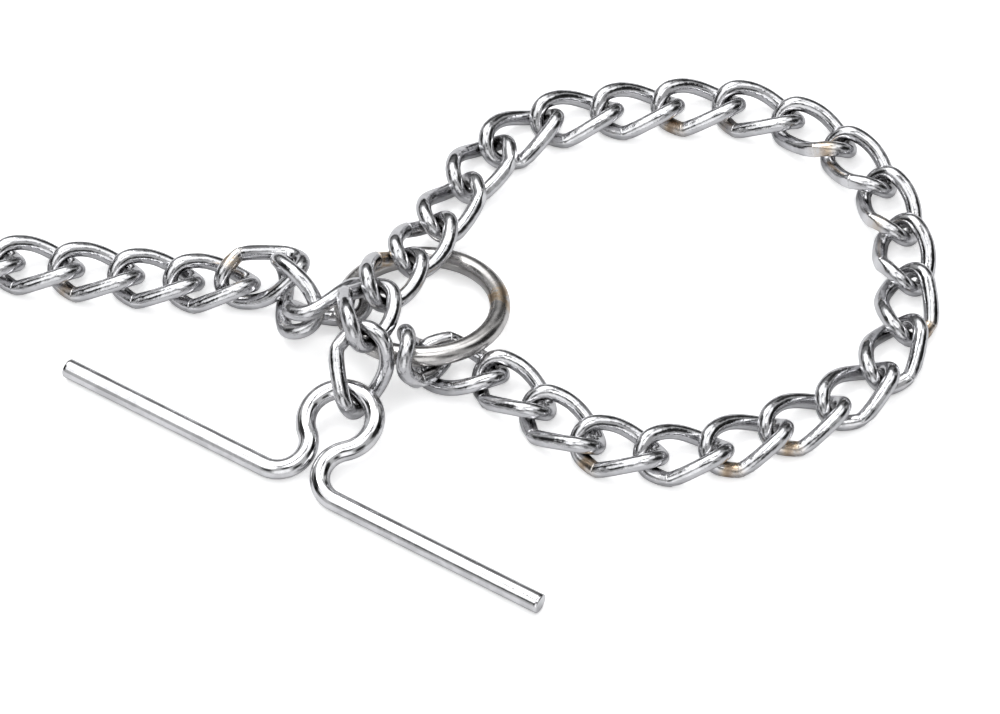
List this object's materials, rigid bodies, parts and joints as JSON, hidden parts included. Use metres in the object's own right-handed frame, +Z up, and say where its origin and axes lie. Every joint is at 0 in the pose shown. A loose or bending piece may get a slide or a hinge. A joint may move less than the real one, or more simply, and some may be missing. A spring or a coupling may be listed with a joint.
{
  "type": "stall tie chain with ring and toggle",
  "caption": "Twisted curb-link chain on a round ring: one branch loops round and ends in a T-bar toggle with an open eye, the other is the tether.",
  "frame": {"origin": "middle of the laid-out chain's box, at the table it lies on", "axes": "+X to the right along the longest side, +Y away from the front, +Z up from the table"},
  "size_m": [0.2852, 0.1862, 0.0289],
  "materials": {
    "link_chrome": "bright plated, satin at the outer bends",
    "ring_chrome": "plated, slightly satin from handling",
    "toggle_chrome": "bright polished plating"
  },
  "bodies": {
    "ring": {"ring": "ring_chrome"},
    "loop_link_01": {"loop_link_01": "link_chrome"},
    "loop_link_02": {"loop_link_02": "link_chrome"},
    "loop_link_03": {"loop_link_03": "link_chrome"},
    "loop_link_04": {"loop_link_04": "link_chrome"},
    "loop_link_05": {"loop_link_05": "link_chrome"},
    "loop_link_06": {"loop_link_06": "link_chrome"},
    "loop_link_07": {"loop_link_07": "link_chrome"},
    "loop_link_08": {"loop_link_08": "link_chrome"},
    "loop_link_09": {"loop_link_09": "link_chrome"},
    "loop_link_10": {"loop_link_10": "link_chrome"},
    "loop_link_11": {"loop_link_11": "link_chrome"},
    "loop_link_12": {"loop_link_12": "link_chrome"},
    "loop_link_13": {"loop_link_13": "link_chrome"},
    "loop_link_14": {"loop_link_14": "link_chrome"},
    "loop_link_15": {"loop_link_15": "link_chrome"},
    "loop_link_16": {"loop_link_16": "link_chrome"},
    "loop_link_17": {"loop_link_17": "link_chrome"},
    "loop_link_18": {"loop_link_18": "link_chrome"},
    "loop_link_19": {"loop_link_19": "link_chrome"},
    "loop_link_20": {"loop_link_20": "link_chrome"},
    "loop_link_21": {"loop_link_21": "link_chrome"},
    "loop_link_22": {"loop_link_22": "link_chrome"},
    "loop_link_23": {"loop_link_23": "link_chrome"},
    "loop_link_24": {"loop_link_24": "link_chrome"},
    "loop_link_25": {"loop_link_25": "link_chrome"},
    "loop_link_26": {"loop_link_26": "link_chrome"},
    "toggle": {"toggle": "toggle_chrome"},
    "tether_link_01": {"tether_link_01": "link_chrome"},
    "tether_link_02": {"tether_link_02": "link_chrome"},
    "tether_link_03": {"tether_link_03": "link_chrome"},
    "tether_link_04": {"tether_link_04": "link_chrome"},
    "tether_link_05": {"tether_link_05": "link_chrome"},
    "tether_link_06": {"tether_link_06": "link_chrome"},
    "tether_link_07": {"tether_link_07": "link_chrome"},
    "tether_link_08": {"tether_link_08": "link_chrome"}
  },
  "joints": [
    {"name": "loop_link_01_hinge", "type": "hinge", "parent": "ring", "child": "loop_link_01", "pos_m": [-0.00602, -0.01823, 0.01717], "axis": [-0.3638, -0.5051, 0.7826], "range_deg": [-3.5, 3]},
    {"name": "loop_link_02_hinge", "type": "hinge", "parent": "loop_link_01", "child": "loop_link_02", "pos_m": [-0.00055, -0.01064, 0.00541], "axis": [-0.3638, -0.5051, 0.7826], "range_deg": [-3, 3.5]},
    {"name": "loop_link_03_hinge", "type": "hinge", "parent": "loop_link_02", "child": "loop_link_03", "pos_m": [0.0165, -0.0143, 0.0051], "axis": [-0.1723, -0.985, 0], "range_deg": [0, 7]},
    {"name": "loop_link_04_hinge", "type": "hinge", "parent": "loop_link_03", "child": "loop_link_04", "pos_m": [0.02959, -0.02651, 0.0051], "axis": [0.1876, 0.9822, 0], "range_deg": [-20, 0]},
    {"name": "loop_link_05_hinge", "type": "hinge", "parent": "loop_link_04", "child": "loop_link_05", "pos_m": [0.0431, -0.03825, 0.0051], "axis": [-0.2007, -0.9797, 0], "range_deg": [0, 10.5]},
    {"name": "loop_link_06_hinge", "type": "hinge", "parent": "loop_link_05", "child": "loop_link_06", "pos_m": [0.06039, -0.04288, 0.0051], "axis": [0.1971, 0.9804, 0], "range_deg": [-13, 0]},
    {"name": "loop_link_07_hinge", "type": "hinge", "parent": "loop_link_06", "child": "loop_link_07", "pos_m": [0.07822, -0.04132, 0.0051], "axis": [-0.202, -0.9794, 0], "range_deg": [0, 13]},
    {"name": "loop_link_08_hinge", "type": "hinge", "parent": "loop_link_07", "child": "loop_link_08", "pos_m": [0.0947, -0.03433, 0.0051], "axis": [0.2167, 0.9762, 0], "range_deg": [-18, 0]},
    {"name": "loop_link_09_hinge", "type": "hinge", "parent": "loop_link_08", "child": "loop_link_09", "pos_m": [0.11079, -0.02648, 0.0051], "axis": [-0.2096, -0.9778, 0], "range_deg": [0, 13]},
    {"name": "loop_link_10_hinge", "type": "hinge", "parent": "loop_link_09", "child": "loop_link_10", "pos_m": [0.1245, -0.01498, 0.0051], "axis": [0.1615, 0.9869, 0], "range_deg": [-8.5, 10]},
    {"name": "loop_link_11_hinge", "type": "hinge", "parent": "loop_link_10", "child": "loop_link_11", "pos_m": [0.13235, 0.00111, 0.0051], "axis": [-0.1045, -0.9945, 0], "range_deg": [-12, 10.5]},
    {"name": "loop_link_12_hinge", "type": "hinge", "parent": "loop_link_11", "child": "loop_link_12", "pos_m": [0.13422, 0.01891, 0.0051], "axis": [-0.1045, -0.9945, 0], "range_deg": [-10.5, 12]},
    {"name": "loop_link_13_hinge", "type": "hinge", "parent": "loop_link_12", "child": "loop_link_13", "pos_m": [0.13297, 0.03677, 0.0051], "axis": [0.1615, 0.9869, 0], "range_deg": [-10, 8.5]},
    {"name": "loop_link_14_hinge", "type": "hinge", "parent": "loop_link_13", "child": "loop_link_14", "pos_m": [0.12804, 0.05398, 0.0051], "axis": [-0.2096, -0.9778, 0], "range_deg": [-13, 0]},
    {"name": "loop_link_15_hinge", "type": "hinge", "parent": "loop_link_14", "child": "loop_link_15", "pos_m": [0.11751, 0.06846, 0.0051], "axis": [0.2167, 0.9762, 0], "range_deg": [0, 18]},
    {"name": "loop_link_16_hinge", "type": "hinge", "parent": "loop_link_15", "child": "loop_link_16", "pos_m": [0.10303, 0.07898, 0.0051], "axis": [-0.202, -0.9794, 0], "range_deg": [-13, 0]},
    {"name": "loop_link_17_hinge", "type": "hinge", "parent": "loop_link_16", "child": "loop_link_17", "pos_m": [0.08601, 0.08451, 0.0051], "axis": [0.1971, 0.9804, 0], "range_deg": [0, 13]},
    {"name": "loop_link_18_hinge", "type": "hinge", "parent": "loop_link_17", "child": "loop_link_18", "pos_m": [0.06812, 0.08389, 0.0051], "axis": [-0.2007, -0.9797, 0], "range_deg": [-10.5, 0]},
    {"name": "loop_link_19_hinge", "type": "hinge", "parent": "loop_link_18", "child": "loop_link_19", "pos_m": [0.05032, 0.08202, 0.0051], "axis": [0.1876, 0.9822, 0], "range_deg": [0, 20]},
    {"name": "loop_link_20_hinge", "type": "hinge", "parent": "loop_link_19", "child": "loop_link_20", "pos_m": [0.03275, 0.0786, 0.0051], "axis": [-0.1723, -0.985, 0], "range_deg": [-7, 0]},
    {"name": "loop_link_21_hinge", "type": "hinge", "parent": "loop_link_20", "child": "loop_link_21", "pos_m": [0.01784, 0.06819, 0.00471], "axis": [-0.866, 0.5, 0], "range_deg": [0, 12]},
    {"name": "loop_link_22_hinge", "type": "hinge", "parent": "loop_link_21", "child": "loop_link_22", "pos_m": [0.00855, 0.05224, 0.0062], "axis": [0.9205, -0.3907, 0], "range_deg": [-15, 0]},
    {"name": "loop_link_23_hinge", "type": "hinge", "parent": "loop_link_22", "child": "loop_link_23", "pos_m": [0.00102, 0.03544, 0.00919], "axis": [-0.8988, 0.4384, 0], "range_deg": [0, 20]},
    {"name": "loop_link_24_hinge", "type": "hinge", "parent": "loop_link_23", "child": "loop_link_24", "pos_m": [-0.00721, 0.01933, 0.01348], "axis": [0.891, -0.454, 0], "range_deg": [-13, 0]},
    {"name": "loop_link_25_hinge", "type": "hinge", "parent": "loop_link_24", "child": "loop_link_25", "pos_m": [-0.01534, 0.00332, 0.01869], "axis": [-0.9659, 0.2588, 0], "range_deg": [0, 15.5]},
    {"name": "loop_link_26_hinge", "type": "hinge", "parent": "loop_link_25", "child": "loop_link_26", "pos_m": [-0.01758, -0.01423, 0.02043], "axis": [0.9744, -0.225, 0], "range_deg": [-10, 0]},
    {"name": "toggle_hinge", "type": "hinge", "parent": "loop_link_26", "child": "toggle", "pos_m": [-0.02456, -0.0327, 0.00747], "axis": [0, 0, 1], "range_deg": [-12, 15]},
    {"name": "tether_link_01_hinge", "type": "hinge", "parent": "ring", "child": "tether_link_01", "pos_m": [-0.02413, 0.01014, 0.00752], "axis": [0.1564, 0.9679, -0.1969], "range_deg": [0, 2.5]},
    {"name": "tether_link_02_hinge", "type": "hinge", "parent": "tether_link_01", "child": "tether_link_02", "pos_m": [-0.0359, 0.00097, 0.00882], "axis": [0, 0, 1], "range_deg": [-5, 12]},
    {"name": "tether_link_03_hinge", "type": "hinge", "parent": "tether_link_02", "child": "tether_link_03", "pos_m": [-0.03907, 0.02017, 0.00996], "axis": [-0.225, 0.9744, 0], "range_deg": [0, 12]},
    {"name": "tether_link_04_hinge", "type": "hinge", "parent": "tether_link_03", "child": "tether_link_04", "pos_m": [-0.0531, 0.01642, 0.00617], "axis": [0, 0, -1], "range_deg": [-15, 7]},
    {"name": "tether_link_05_hinge", "type": "hinge", "parent": "tether_link_04", "child": "tether_link_05", "pos_m": [-0.06894, 0.01785, 0.0051], "axis": [-0.1392, -0.9903, 0], "range_deg": [-15, 0]},
    {"name": "tether_link_06_hinge", "type": "hinge", "parent": "tether_link_05", "child": "tether_link_06", "pos_m": [-0.08597, 0.02025, 0.0051], "axis": [0, 0, 1], "range_deg": [-20, 20]},
    {"name": "tether_link_07_hinge", "type": "hinge", "parent": "tether_link_06", "child": "tether_link_07", "pos_m": [-0.103, 0.02264, 0.0051], "axis": [0.1392, 0.9903, 0], "range_deg": [0, 25]},
    {"name": "tether_link_08_hinge", "type": "hinge", "parent": "tether_link_07", "child": "tether_link_08", "pos_m": [-0.12004, 0.02504, 0.0051], "axis": [0, 0, -1], "range_deg": [-25, 25]}
  ],
  "couplings": [
    {"joint": "loop_link_02_hinge", "follows": "loop_link_01_hinge", "ratio": -1},
    {"joint": "loop_link_20_hinge", "follows": "loop_link_03_hinge", "ratio": -1},
    {"joint": "loop_link_19_hinge", "follows": "loop_link_04_hinge", "ratio": -1},
    {"joint": "loop_link_18_hinge", "follows": "loop_link_05_hinge", "ratio": -1},
    {"joint": "loop_link_17_hinge", "follows": "loop_link_06_hinge", "ratio": -1},
    {"joint": "loop_link_16_hinge", "follows": "loop_link_07_hinge", "ratio": -1},
    {"joint": "loop_link_15_hinge", "follows": "loop_link_08_hinge", "ratio": -1},
    {"joint": "loop_link_14_hinge", "follows": "loop_link_09_hinge", "ratio": -1},
    {"joint": "loop_link_13_hinge", "follows": "loop_link_10_hinge", "ratio": -1},
    {"joint": "loop_link_12_hinge", "follows": "loop_link_11_hinge", "ratio": -1}
  ]
}
